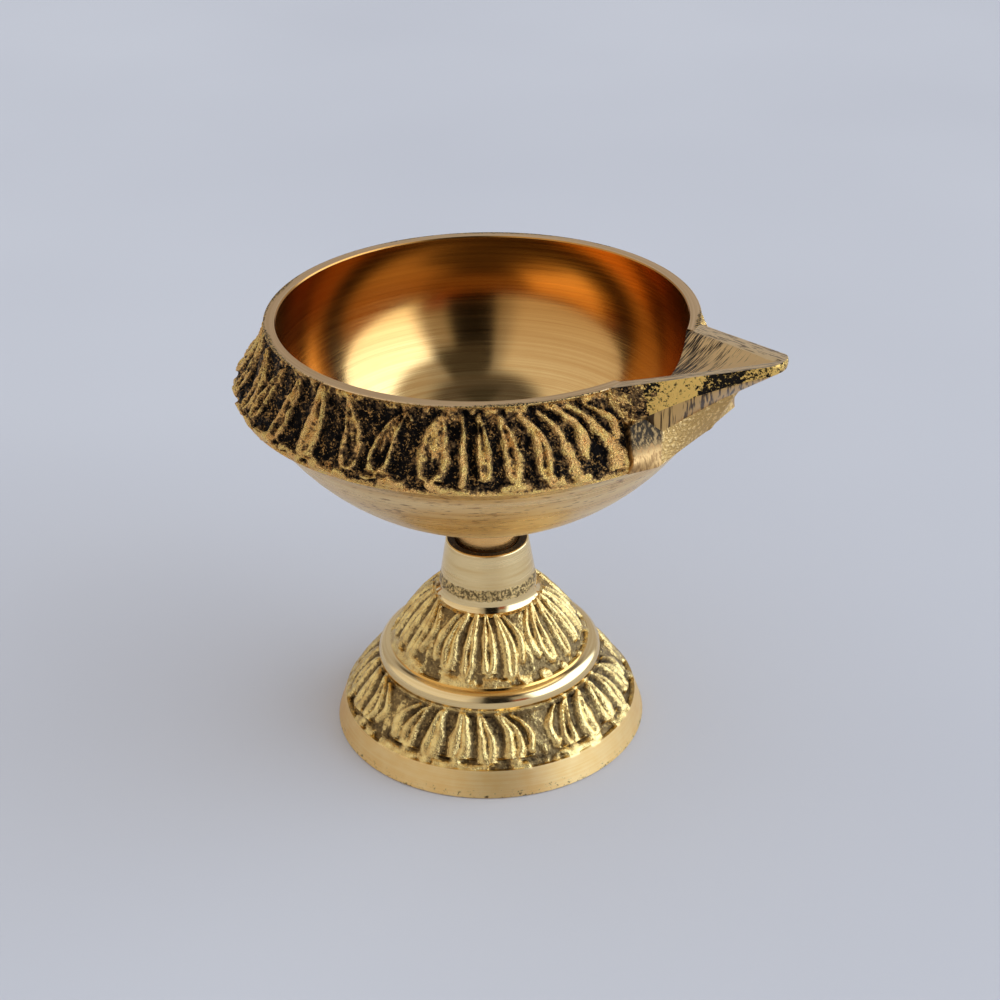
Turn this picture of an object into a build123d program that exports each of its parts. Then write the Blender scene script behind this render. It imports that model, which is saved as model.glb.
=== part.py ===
from build123d import *
import math
import os

# Diya oil lamp: a turned and cast brass bowl with a pulled spout, screwed into a hollow cast stand.
# Units are millimetres. The origin is the centre of the resting plane under the stand, +Z is up,
# and the spout points along +X. Relief ornament stays inside the plain crest surfaces made here.

# ---- rim and ornamental band of the bowl ----
rim_height = 76.0
rim_inner_radius = 32.64
rim_outer_radius = 34.64
rim_bevel = 0.25
band_flare_radius = 36.6
band_flare_height = 71.0
band_shoulder_radius = 39.97
band_shoulder_height = 66.5
band_widest_radius = 40.25
band_widest_height = 65.1
band_foot_radius = 39.5
band_foot_height = 64.1
band_underside_height = 62.4

# ---- plain lower bowl ----
shell_radius = 41.7
shell_centre_height = 82.5
boss_radius = 5.6
boss_height = 40.1
cavity_floor_height = 44.2
cavity_widest_height = 72.0

# ---- spout ----
lip_root_reach = 31.8
lip_root_half_width = 13.8
lip_tip_reach = 53.0
lip_tip_radius = 3.8
lip_tip_height = 80.2
lip_inner_reach = 26.0
fascia_foot_at_tip = 78.6
ledge_drop = 2.5
ledge_inset = 1.5
lip_underside_slope = 0.456
keel_foot_radius = 41.0
keel_half_angle = 23.0
keel_foot_height = 64.4
keel_top_height = 75.0
keel_root_reach = 30.0
keel_nose_reach = 43.4
keel_nose_radius = 4.1
keel_root_half_width = 12.3
channel_apex_reach = 51.5
channel_apex_height = 79.7
channel_half_angle = 33.5
channel_tilt = 10.0
channel_length = 34.0
root_strip = 0.2

# ---- threaded stud ----
shank_radius = 5.2
shank_foot_height = 32.8
spigot_radius = 3.0
spigot_length = 2.4
thread_radius = 4.0
thread_length = 7.5
thread_chamfer = 0.7

# ---- stand: collar ----
running_clearance = 0.05
collar_height = 34.8
collar_lip_radius = 6.75
collar_edge_radius = 6.97
collar_edge_height = 34.7
collar_top_radius = 7.05
collar_shoulder_height = 34.45
collar_foot_radius = 8.65
collar_foot_height = 24.6

# ---- stand: upper tier, ring, lower tier and foot ----
upper_tier_top_radius = 9.6
upper_tier_top_height = 25.4
upper_tier_middle_radius = 14.3
upper_tier_middle_height = 20.2
ring_waist_radius = 17.2
upper_tier_foot_height = 15.4
ring_waist_height = 15.1
ring_crown_radius = 18.6
ring_crown_height = 14.6
ring_radius = 19.2
ring_height = 13.4
ring_foot_height = 12.2
lower_tier_top_radius = 20.0
lower_tier_top_height = 11.8
lower_tier_middle_radius = 22.9
lower_tier_middle_height = 8.3
skirt_radius = 25.4
skirt_height = 4.6
foot_radius = 27.0

# ---- stand: hollow underneath ----
foot_inner_radius = 24.4
hollow_skirt_radius = 22.8
hollow_step_radius = 16.8
hollow_step_height = 9.5
hollow_waist_radius = 14.4
hollow_waist_height = 13.5
hollow_top_radius = 7.0
hollow_top_height = 20.5


def slope_height(reach):
    """Height of the lip's sloping top over a point at this reach."""
    rise = lip_tip_height - rim_height
    return rim_height + rise * (reach - lip_root_reach) / (lip_tip_reach - lip_root_reach)


def underside_height(reach):
    """Height of the lip's flat underside over a point at this reach."""
    return fascia_foot_at_tip - ledge_drop - lip_underside_slope * (lip_tip_reach - reach)


os.makedirs("parts", exist_ok=True)

# ---- spout lip: a wedge between two sloping planes, trimmed to a beak in plan ----
lip_end = lip_tip_reach + 1.0
with BuildPart() as spout_lip:
    with BuildSketch(Plane.XZ):
        with BuildLine():
            Polyline(
                (lip_inner_reach, slope_height(lip_inner_reach)),
                (lip_end, slope_height(lip_end)),
                (lip_end, underside_height(lip_end)),
                (lip_inner_reach, underside_height(lip_inner_reach)),
                close=True,
            )
        make_face()
    extrude(amount=2 * lip_root_half_width, both=True)
    with BuildSketch(Plane.XY.offset(band_underside_height)):
        with Locations((lip_tip_reach - lip_tip_radius, 0)):
            Circle(lip_tip_radius)
        with Locations((lip_root_reach, 0)):
            Rectangle(root_strip, 2 * lip_root_half_width)
        make_hull()
        with Locations((lip_root_reach, 0)):
            Rectangle(lip_root_reach - lip_inner_reach, 2 * lip_root_half_width,
                      align=(Align.MAX, Align.CENTER))
    extrude(amount=lip_tip_height - band_underside_height + 1.0, mode=Mode.INTERSECT)
    underside = spout_lip.faces().filter_by(Axis.Z, reverse=True).sort_by(Axis.Z)[0]
    side_edges = [
        edge for edge in underside.edges()
        if edge.center().X > lip_root_reach + 0.5
    ]
    chamfer(side_edges, length=ledge_drop, length2=ledge_inset)

# ---- keel: a hull lofted from the band's foot up into the lip ----
with BuildPart() as spout_keel:
    with BuildSketch(Plane.XY.offset(keel_foot_height)):
        with BuildLine():
            foot_arc = CenterArc((0, 0), keel_foot_radius, -keel_half_angle, 2 * keel_half_angle)
            Polyline(foot_arc @ 1, (keel_root_reach, keel_root_half_width),
                     (keel_root_reach, -keel_root_half_width), foot_arc @ 0)
        make_face()
    with BuildSketch(Plane.XY.offset(keel_top_height)):
        with Locations((keel_nose_reach, 0)):
            Circle(keel_nose_radius)
        with Locations((keel_root_reach, 0)):
            Rectangle(root_strip, 2 * keel_root_half_width, align=(Align.MIN, Align.CENTER))
        make_hull()
    loft()

# ---- bowl: shell and band in one turned outline, with the spout joined and the hollow cut ----
with BuildPart() as bowl:
    shell_join_radius = math.sqrt(shell_radius**2 - (shell_centre_height - band_underside_height)**2)
    boss_top_height = shell_centre_height - math.sqrt(shell_radius**2 - boss_radius**2)
    with BuildSketch(Plane.XZ):
        with BuildLine():
            Line((0, rim_height), (rim_outer_radius - rim_bevel, rim_height))
            Line((rim_outer_radius - rim_bevel, rim_height),
                 (rim_outer_radius, rim_height - rim_bevel))
            ThreePointArc((rim_outer_radius, rim_height - rim_bevel),
                          (band_flare_radius, band_flare_height),
                          (band_shoulder_radius, band_shoulder_height))
            ThreePointArc((band_shoulder_radius, band_shoulder_height),
                          (band_widest_radius, band_widest_height),
                          (band_foot_radius, band_foot_height))
            Line((band_foot_radius, band_foot_height), (shell_join_radius, band_underside_height))
            RadiusArc((shell_join_radius, band_underside_height),
                      (boss_radius, boss_top_height), shell_radius)
            Polyline((boss_radius, boss_top_height), (boss_radius, boss_height), (0, boss_height),
                     (0, rim_height))
        make_face()
    revolve(axis=Axis.Z)
    add(spout_lip.part)
    add(spout_keel.part)
    # the hollow: one elliptical sweep, widest a little under the rim
    with BuildSketch(Plane.XZ):
        with BuildLine():
            cavity_drop = cavity_widest_height - cavity_floor_height
            rim_angle = math.asin((rim_height - cavity_widest_height) / cavity_drop)
            cavity_radius = rim_inner_radius / math.cos(rim_angle)
            top_height = lip_tip_height + 5.0
            sweep = EllipticalCenterArc((0, cavity_widest_height), cavity_radius, cavity_drop,
                                        start_angle=-90, arc_size=90 + math.degrees(rim_angle))
            Polyline(sweep @ 0, (0, top_height), (rim_inner_radius, top_height), sweep @ 1)
        make_face()
    revolve(axis=Axis.Z, mode=Mode.SUBTRACT)
    # the spout channel: a tilted cone whose point lies just inside the tip
    channel_direction = Vector(-math.cos(math.radians(channel_tilt)), 0,
                               math.sin(math.radians(channel_tilt)))
    channel_plane = Plane(origin=(channel_apex_reach, 0, channel_apex_height),
                          z_dir=channel_direction)
    with Locations(channel_plane):
        Cone(0, channel_length * math.tan(math.radians(channel_half_angle)), channel_length,
             align=(Align.CENTER, Align.CENTER, Align.MIN), mode=Mode.SUBTRACT)
    # the blind socket for the stud's spigot
    with Locations(Plane.XY.offset(boss_height)):
        Cylinder(spigot_radius + running_clearance, spigot_length,
                 align=(Align.CENTER, Align.CENTER, Align.MIN), mode=Mode.SUBTRACT)

# ---- threaded stud: spigot, shank and screw tail ----
with BuildPart() as threaded_stud:
    tail_foot_height = shank_foot_height - thread_length
    with BuildSketch(Plane.XY.offset(tail_foot_height)):
        Circle(thread_radius)
    extrude(amount=thread_length)
    chamfer(threaded_stud.edges().sort_by(Axis.Z)[0], length=thread_chamfer)
    with BuildSketch(Plane.XY.offset(shank_foot_height)):
        Circle(shank_radius)
    extrude(amount=boss_height - shank_foot_height)
    with BuildSketch(Plane.XY.offset(boss_height)):
        Circle(spigot_radius)
    extrude(amount=spigot_length)

# ---- stand: tapped collar, two ornamented tiers, ring and foot in one hollow casting ----
with BuildPart() as stand:
    counterbore_radius = shank_radius + running_clearance
    tapped_radius = thread_radius + running_clearance
    with BuildSketch(Plane.XZ):
        with BuildLine():
            Line((0, collar_height), (collar_lip_radius, collar_height))
            ThreePointArc((collar_lip_radius, collar_height),
                          (collar_edge_radius, collar_edge_height),
                          (collar_top_radius, collar_shoulder_height))
            Line((collar_top_radius, collar_shoulder_height),
                 (collar_foot_radius, collar_foot_height))
            Line((collar_foot_radius, collar_foot_height),
                 (upper_tier_top_radius, upper_tier_top_height))
            ThreePointArc((upper_tier_top_radius, upper_tier_top_height),
                          (upper_tier_middle_radius, upper_tier_middle_height),
                          (ring_waist_radius, upper_tier_foot_height))
            Line((ring_waist_radius, upper_tier_foot_height),
                 (ring_waist_radius, ring_waist_height))
            ThreePointArc((ring_waist_radius, ring_waist_height),
                          (ring_crown_radius, ring_crown_height), (ring_radius, ring_height))
            Line((ring_radius, ring_height), (ring_radius, ring_foot_height))
            Line((ring_radius, ring_foot_height), (lower_tier_top_radius, lower_tier_top_height))
            ThreePointArc((lower_tier_top_radius, lower_tier_top_height),
                          (lower_tier_middle_radius, lower_tier_middle_height),
                          (skirt_radius, skirt_height))
            Line((skirt_radius, skirt_height), (foot_radius, 0))
            Line((foot_radius, 0), (0, 0))
            Line((0, 0), (0, collar_height))
        make_face()
    revolve(axis=Axis.Z)
    # the hollow underneath follows the outside with a wall of a few millimetres
    with BuildSketch(Plane.XZ):
        with BuildLine():
            Polyline((0, 0), (foot_inner_radius, 0), (hollow_skirt_radius, skirt_height),
                     (hollow_step_radius, hollow_step_height),
                     (hollow_waist_radius, hollow_waist_height),
                     (hollow_top_radius, hollow_top_height), (0, hollow_top_height), close=True)
        make_face()
    revolve(axis=Axis.Z, mode=Mode.SUBTRACT)
    # the screw hole and the counterbore that seats the shank
    with Locations(Plane.XY.offset(collar_height)):
        CounterBoreHole(radius=tapped_radius, counter_bore_radius=counterbore_radius,
                        counter_bore_depth=collar_height - shank_foot_height,
                        depth=collar_height)

for sub_part, label in (
    (bowl, "bowl"),
    (threaded_stud, "threaded_stud"),
    (stand, "stand"),
):
    sub_part.part.label = label
    export_step(sub_part.part, f"parts/{label}.step")
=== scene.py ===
import math

import bmesh
import bpy
import numpy as np
from mathutils import Matrix, Vector


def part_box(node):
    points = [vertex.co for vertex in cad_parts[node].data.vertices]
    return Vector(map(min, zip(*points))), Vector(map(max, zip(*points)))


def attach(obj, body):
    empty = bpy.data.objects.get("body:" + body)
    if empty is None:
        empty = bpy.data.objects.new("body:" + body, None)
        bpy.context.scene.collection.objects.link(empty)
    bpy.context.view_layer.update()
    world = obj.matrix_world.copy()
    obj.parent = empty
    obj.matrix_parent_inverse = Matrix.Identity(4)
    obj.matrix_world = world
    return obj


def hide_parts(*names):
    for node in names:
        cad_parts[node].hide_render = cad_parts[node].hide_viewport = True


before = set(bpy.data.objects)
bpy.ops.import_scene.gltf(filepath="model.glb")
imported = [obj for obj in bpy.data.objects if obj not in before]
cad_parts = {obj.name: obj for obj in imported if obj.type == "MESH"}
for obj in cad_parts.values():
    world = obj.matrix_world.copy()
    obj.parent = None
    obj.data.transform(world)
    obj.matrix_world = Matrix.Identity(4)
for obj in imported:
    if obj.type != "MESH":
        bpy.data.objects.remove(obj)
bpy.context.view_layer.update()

# The lamp's looks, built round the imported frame. Every outline below is in millimetres on the
# frame's own axes: +Z up the lamp's axis, +X along the spout. Meshes are scaled to metres.
MM = 0.001


def box_mm(node_name):
    """Lowest and highest corner of a CAD node, in millimetres."""
    return [np.array(corner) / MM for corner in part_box(node_name)]


bowl_low, bowl_high = box_mm("bowl")
stud_low, stud_high = box_mm("threaded_stud")
_, stand_high = box_mm("stand")

# ---- sizes read from the frame ----
TIP_REACH = bowl_high[0]
TIP_HEIGHT = bowl_high[2]
BAND_RADIUS = bowl_high[1]
BOSS_HEIGHT = bowl_low[2]
FOOT_RADIUS = stand_high[0]
COLLAR_HEIGHT = stand_high[2]
SHANK_RADIUS = stud_high[0]

# ---- sizes repeated from the CAD outlines ----
RIM_HEIGHT = 76.0
RIM_OUTER = 34.64
RIM_INNER = 32.64
BAND_FOOT_HEIGHT = 64.1
BAND_UNDERSIDE_HEIGHT = 62.4
SHELL_RADIUS = 41.7
SHELL_CENTRE = 82.5
CAVITY_FLOOR = 44.2
CAVITY_WIDEST = 72.0
BOSS_RADIUS = 5.6
SOCKET = (3.05, 2.4)
STUD_SEAT = 32.8
CHANNEL_APEX = (51.9, 79.85)
CHANNEL_HALF_ANGLE = 33.5
CHANNEL_TILT = 10.0
CHANNEL_BLEND = 0.55
# half width of the channel's edge, per millimetre back from its point
CHANNEL_SPREAD = 0.54

# ======== Outlines ========


def arc(start, via, end, count):
    """count points from start towards end (not included) on the circle through all three."""
    (ax, ay), (bx, by), (cx, cy) = start, via, end
    d = 2 * (ax * (by - cy) + bx * (cy - ay) + cx * (ay - by))
    a2, b2, c2 = ax**2 + ay**2, bx**2 + by**2, cx**2 + cy**2
    ux = (a2 * (by - cy) + b2 * (cy - ay) + c2 * (ay - by)) / d
    uy = (a2 * (cx - bx) + b2 * (ax - cx) + c2 * (bx - ax)) / d
    radius = math.hypot(ax - ux, ay - uy)
    a0 = math.atan2(ay - uy, ax - ux)
    turn_via = (math.atan2(by - uy, bx - ux) - a0) % (2 * math.pi)
    turn_end = (math.atan2(cy - uy, cx - ux) - a0) % (2 * math.pi)
    if turn_via > turn_end:
        turn_end -= 2 * math.pi
    angles = a0 + turn_end * np.arange(count) / count
    return [(ux + radius * math.cos(a), uy + radius * math.sin(a)) for a in angles]


def straight(start, end, count):
    """count points from start towards end (not included), evenly spaced."""
    steps = np.arange(count) / count
    return [(start[0] + (end[0] - start[0]) * k, start[1] + (end[1] - start[1]) * k)
            for k in steps]


def path(start, *legs):
    """Sections joined end to end, each given as (steps, material index, [via,] end)."""
    sections = []
    for steps, slot, *through in legs:
        line = arc if len(through) == 2 else straight
        sections.append((line(start, *through, steps), slot))
        start = through[-1]
    return sections


def smooth(low, high, value):
    """0 below low, 1 above high, eased between them."""
    k = np.clip((value - low) / (high - low), 0.0, 1.0)
    return k * k * (3 - 2 * k)


def wrap_noise(turn, along, cell, seed, girth=250.0):
    """Smooth noise from -1 to 1 that joins up round the lamp. turn is 0 to 1, along is in mm."""
    rng = np.random.default_rng(seed)
    round_cells = max(3, int(round(girth / cell)))
    rows = int(np.max(along) / cell) + 3
    lattice = rng.uniform(-1.0, 1.0, (round_cells, rows))
    a = (turn % 1.0) * round_cells
    b = along / cell
    i, j = np.floor(a).astype(int), np.floor(b).astype(int)
    fa, fb = a - i, b - j
    fa, fb = fa * fa * (3 - 2 * fa), fb * fb * (3 - 2 * fb)
    i0, i1 = i % round_cells, (i + 1) % round_cells
    low = lattice[i0, j] * (1 - fa) + lattice[i1, j] * fa
    high = lattice[i0, j + 1] * (1 - fa) + lattice[i1, j + 1] * fa
    return low * (1 - fb) + high * fb


# ======== Petal relief ========

# how far apart a petal's width is compared for the slope of its edge
SLOPE_STEP = 0.01


def petal_width(t):
    """Half width of a petal loop along its length: pointed at the top, round at the foot."""
    t = np.clip(t, 0.0, 1.0)
    return t**0.6 * np.sqrt(np.clip(1.0 - t**6, 0.0, 1.0))


def bead(distance, width):
    """Rounded cross-section of a ridge: 1 on its crest, 0 from width outwards."""
    return np.cos(0.5 * math.pi * np.clip(distance / width, 0.0, 1.0)) ** 1.3


def petal_relief(degrees, along, radius, length, style):
    """How far the casting lies below its crests, in mm, over a grid of points.

    degrees is the angle round the lamp, along the distance down the band from its top edge,
    radius the distance from the axis. style holds the fans, petals and depths of this band.
    Each fan is (centre, reach to the left, reach to the right, petals), and each petal is
    (degrees from the centre at the foot, half width mm, ridge width mm, top, foot, middle rib).
    """
    turn = degrees / 360.0
    girth = 2 * math.pi * float(np.mean(radius))
    seed, wander = style["seed"], style["wander"]
    rng = np.random.default_rng(seed)

    def rough(cell, number):
        return wrap_noise(turn, along, cell, seed + number, girth)

    t = along / length
    shift = wander * (rough(4.5, 1) + 0.5 * rough(1.6, 2))
    bold = 1.0 + 0.30 * rough(2.6, 3)
    ragged = style["ragged"] * (rough(0.9, 13) + 0.6 * rough(1.7, 14))
    ridge = np.zeros_like(t)
    hollow = np.zeros_like(t)
    outside = np.ones_like(t)
    for centre, left, right, petals in style["fans"]:
        offset = (degrees - centre + 180.0) % 360.0 - 180.0
        near = (offset > -left * 1.15) & (offset < right * 1.15)
        spread = style["gather"] + (1 - style["gather"]) * np.clip(t, 0, 1)**style["bend"]
        x = np.radians(offset) * radius + shift
        edge = np.radians(np.where(offset < 0, left, right)) * radius * spread
        outside = np.minimum(outside, smooth(-0.3, 0.9, np.abs(x) - edge) * (0.55 + 0.45 * t))
        for place, wide, line, top, foot, rib in petals:
            line = line * rng.uniform(0.85, 1.15)
            strength = rng.uniform(0.8, 1.0)
            local = (t - top) / (foot - top)
            size = length * (foot - top)
            bow = style["bow"] * place / 20.0 * np.sin(math.pi * np.clip(local, 0.0, 1.0))
            middle = math.radians(place) * radius * spread + bow
            reach = wide * petal_width(local)
            gap = np.abs(x - middle) - reach
            rise = petal_width(local + SLOPE_STEP) - petal_width(local - SLOPE_STEP)
            slope = wide * rise / (2 * SLOPE_STEP * size)
            distance = np.abs(gap) / np.sqrt(1.0 + slope**2)
            past = np.clip(np.maximum(-local, local - 1), 0.0, None) * size
            distance = np.where(past > 0, np.hypot(x - middle, past), distance)
            distance = np.abs(distance + ragged)
            taper = 0.72 + 0.4 * smooth(0.0, 0.7, local)
            crest = strength * bead(distance, line * taper * bold)
            ridge = np.maximum(ridge, np.where(near, crest, 0.0))
            if rib:
                rib_line = rib * bead(np.abs(x - middle), 0.7 * line * bold)
                rib_line = rib_line * smooth(0.1, 0.3, local) * (1 - smooth(0.62, 0.85, local))
                ridge = np.maximum(ridge, np.where(near, rib_line, 0.0))
            dip = smooth(0.0, 0.6, -gap) * (past <= 0)
            hollow = np.maximum(hollow, np.where(near, dip, 0.0))
    mottle = smooth(-0.3, 0.9, rough(1.9, 5))
    height = np.maximum(ridge, style["floor"] * hollow * (0.5 + mottle) + 0.2 * mottle)
    height = np.maximum(height, style["gap"] * outside * (0.6 + 0.4 * mottle))
    # worn pads and pits along the foot
    pads = rough(style["pad"], 6) + 0.35 * rough(1.2, 7) - style["pads_over"]
    pads = smooth(-0.10, 0.14, pads) * (0.82 + 0.18 * rough(0.9, 10))
    foot_from = style["pads_from"]
    at_foot = smooth(foot_from - 0.07, foot_from + 0.03, t + 0.05 * rough(2.5, 11))
    height = height * (1 - at_foot) + np.maximum(pads, 0.7 * height) * at_foot
    # a gritty strip under the top edge
    at_top = 1 - smooth(0.5 * style["grit_to"], 1.4 * style["grit_to"], t)
    grit = np.clip(0.35 + 0.6 * rough(0.9, 8), 0.0, 0.85)
    height = height * (1 - at_top) + np.maximum(grit, 0.6 * height) * at_top
    grain = style["grain"] * (rough(0.62, 9) + 0.6 * rough(1.1, 12))
    depth = style["depth"] * (1.0 - height) + grain * (1.0 - 0.45 * height)
    return np.clip(depth, 0.0, None)


def fan(centre, left, right, *petals):
    return (centre, left, right, petals)


# each petal: degrees from the fan's centre, half width, ridge width, top, foot, middle rib
def regular_fan(centre):
    return fan(centre, 21.0, 21.0,
               (-18.3, 1.60, 0.72, 0.12, 0.78, 0.0), (-6.8, 1.45, 0.76, 0.07, 0.82, 0.7),
               (4.8, 1.60, 0.76, 0.07, 0.80, 0.0), (17.2, 1.60, 0.74, 0.10, 0.80, 0.6))


def spout_fan(centre, toward):
    """The long fan that runs on to the spout; toward is 1 or -1, the side the spout is on."""
    petals = [(-20.4, 2.20, 0.80, 0.12, 0.76, 0.5), (-7.2, 2.20, 0.85, 0.09, 0.79, 0.8),
              (0.0, 0.20, 0.75, 0.12, 0.86, 0.0), (5.5, 1.05, 0.68, 0.09, 0.76, 0.0),
              (12.3, 1.10, 0.70, 0.10, 0.78, 0.0), (19.3, 0.95, 0.80, 0.10, 0.80, 0.0),
              (25.4, 0.30, 0.95, 0.10, 0.84, 0.0), (31.0, 0.55, 1.15, 0.07, 0.62, 0.0),
              (36.6, 0.50, 1.25, 0.07, 0.84, 0.0), (42.0, 0.30, 0.70, 0.10, 0.50, 0.0)]
    near, far = 46.0, 21.0
    return fan(centre, far if toward > 0 else near, near if toward > 0 else far,
               *((place * toward, *rest) for place, *rest in petals))


TIER_FAN_SPREAD = 68.0


def tier_fan(centre, half, line, loops):
    """A fan of U-shaped loops with a single short ridge at either side of it."""
    step = TIER_FAN_SPREAD / (loops + 0.7)
    places = [(k - 0.5 * (loops - 1)) * step for k in range(loops)]
    petals = [(place, half * (1.0 - 0.10 * (k % 2)), line, 0.03 + 0.001 * abs(place),
               0.88 - 0.06 * ((k + 1) % 2), 0.0) for k, place in enumerate(places)]
    side = 0.5 * (loops - 1) * step + 0.72 * step
    return fan(centre, 36.0, 36.0, (-side, 0.15, line, 0.10, 0.70, 0.0), *petals,
               (side, 0.15, line, 0.10, 0.70, 0.0))


BAND_STYLE = {
    "fans": [spout_fan(-60.0, 1), spout_fan(60.0, -1),
             *(regular_fan(angle) for angle in (-102.5, -141.5, 180.0, 141.5, 102.5))],
    "gather": 0.66, "bend": 0.8, "bow": 0.9, "floor": 0.34, "gap": 0.0, "pad": 2.2,
    "pads_from": 0.84, "pads_over": 0.02, "grit_to": 0.09, "depth": 1.05, "grain": 0.26,
    "wander": 0.36, "ragged": 0.10, "seed": 11,
}
TIER_STYLE = {
    "bend": 0.9, "floor": 0.18, "gap": 0.70, "pads_from": 0.91, "pads_over": -0.15,
    "grit_to": 0.03,
}
UPPER_STYLE = {
    **TIER_STYLE, "fans": [tier_fan(-63.0 + 72.0 * k, 0.98, 0.88, 4) for k in range(5)],
    "gather": 0.68, "bow": 0.8, "pad": 1.6, "depth": 0.80, "grain": 0.045, "wander": 0.26,
    "ragged": 0.02, "seed": 31,
}
LOWER_STYLE = {
    **TIER_STYLE, "fans": [tier_fan(-69.0 + 72.0 * k, 1.32, 1.12, 5) for k in range(5)],
    "gather": 0.72, "bow": 1.0, "pad": 1.9, "depth": 0.95, "grain": 0.05, "wander": 0.32,
    "ragged": 0.025, "seed": 51,
}

# ======== Mesh helpers ========

# faces that turn by more than this meet in a hard edge
SHARP_ANGLE = math.radians(38.0)


def make_object(name, points_mm, faces, face_slots, materials):
    """A mesh object from millimetre points, with one material index per face."""
    mesh = bpy.data.meshes.new(name)
    mesh.from_pydata((np.asarray(points_mm) * MM).tolist(), [], faces)
    for material in materials:
        mesh.materials.append(material)
    mesh.polygons.foreach_set("material_index", np.asarray(face_slots, np.int32))
    mesh.update()
    obj = bpy.data.objects.new(name, mesh)
    bpy.context.scene.collection.objects.link(obj)
    return obj


def turned(name, outline, columns, materials, reliefs=(), closed_loop=False):
    """A solid turned about Z from outline rows of (radius, height, material index).

    reliefs are (first row, last row, style): those rows are pressed in along the outline's
    normal by petal_relief. An open outline starts and ends on the axis, as single points.
    """
    rows = np.array([row[:2] for row in outline], float)
    slots = [row[2] for row in outline]
    angles = 2 * math.pi * np.arange(columns) / columns
    radius = np.repeat(rows[:, :1], columns, axis=1)
    height = np.repeat(rows[:, 1:2], columns, axis=1)
    steps = np.hypot(*np.diff(rows, axis=0).T)
    travelled = np.concatenate([[0.0], np.cumsum(steps)])
    tangent = np.gradient(rows, axis=0)
    tangent /= np.maximum(np.hypot(tangent[:, 0], tangent[:, 1]), 1e-9)[:, None]
    for first, last, style in reliefs:
        span = slice(first, last + 1)
        along = (travelled[span] - travelled[first])[:, None] + 0 * radius[span]
        degrees = np.degrees(angles)[None, :] + 0 * radius[span]
        depth = petal_relief(degrees, along, radius[span], float(along.max()), style)
        ease = smooth(0.0, 0.5, along) * smooth(0.0, 0.25, along.max() - along)
        depth *= ease
        # the outline runs down the outside, so its inward normal is the tangent turned right
        inward = np.stack([tangent[span][:, 1], -tangent[span][:, 0]], axis=1)
        radius[span] += depth * inward[:, :1]
        height[span] += depth * inward[:, 1:2]
    points, faces, face_slots, index = [], [], [], []
    for i in range(len(rows)):
        if radius[i].max() < 1e-6:
            index.append([len(points)] * columns)
            points.append((0.0, 0.0, float(height[i][0])))
            continue
        index.append(list(range(len(points), len(points) + columns)))
        x, y = radius[i] * np.cos(angles), radius[i] * np.sin(angles)
        points.extend(zip(x.tolist(), y.tolist(), height[i].tolist()))
    pairs = [(i, i + 1) for i in range(len(rows) - 1)]
    if closed_loop:
        pairs.append((len(rows) - 1, 0))
    for i, j in pairs:
        upper, lower = index[i], index[j]
        for c in range(columns):
            n = (c + 1) % columns
            # a row that is one point on the axis gives triangles
            faces.append(tuple(dict.fromkeys((upper[c], lower[c], lower[n], upper[n]))))
            face_slots.append(slots[i])
    return make_object(name, points, faces, face_slots, materials)


def rows_of(*sections):
    """Joins (points, material index) sections into rows of (radius, height, index)."""
    return [(r, z, slot) for points, slot in sections for r, z in points]


def boolean(target, tool, operation):
    """target changed by tool, which is used up."""
    modifier = target.modifiers.new(operation, "BOOLEAN")
    modifier.operation = operation
    modifier.object = tool
    modifier.solver = "MANIFOLD"
    modifier.material_mode = "TRANSFER"
    evaluated = target.evaluated_get(bpy.context.evaluated_depsgraph_get())
    mesh = bpy.data.meshes.new_from_object(evaluated)
    target.modifiers.clear()
    old = target.data
    target.data = mesh
    bpy.data.meshes.remove(old)
    bpy.data.objects.remove(tool)


def outward(obj):
    """The object, with a closed mesh's faces turned outward if they point in."""
    work = bmesh.new()
    work.from_mesh(obj.data)
    if work.calc_volume(signed=True) < 0:
        bmesh.ops.reverse_faces(work, faces=work.faces[:])
        work.to_mesh(obj.data)
    work.free()
    return obj


def shade(obj):
    """Smooth faces, with hard edges where the surface turns sharply."""
    obj.data.polygons.foreach_set("use_smooth", [True] * len(obj.data.polygons))
    obj.data.set_sharp_from_angle(angle=SHARP_ANGLE)
    obj.data.update()


def mesh_points(obj):
    """The mesh's points in millimetres, as an array."""
    flat = np.empty(len(obj.data.vertices) * 3, np.float32)
    obj.data.vertices.foreach_get("co", flat)
    return flat.reshape(-1, 3).astype(float) / MM


def write_depth(obj, depth):
    """Stores how far each point lies below the crests, in mm, for the patina."""
    layer = obj.data.attributes.new("depth", "FLOAT", "POINT")
    layer.data.foreach_set("value", np.asarray(depth, np.float32))


# ======== Materials ========


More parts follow.
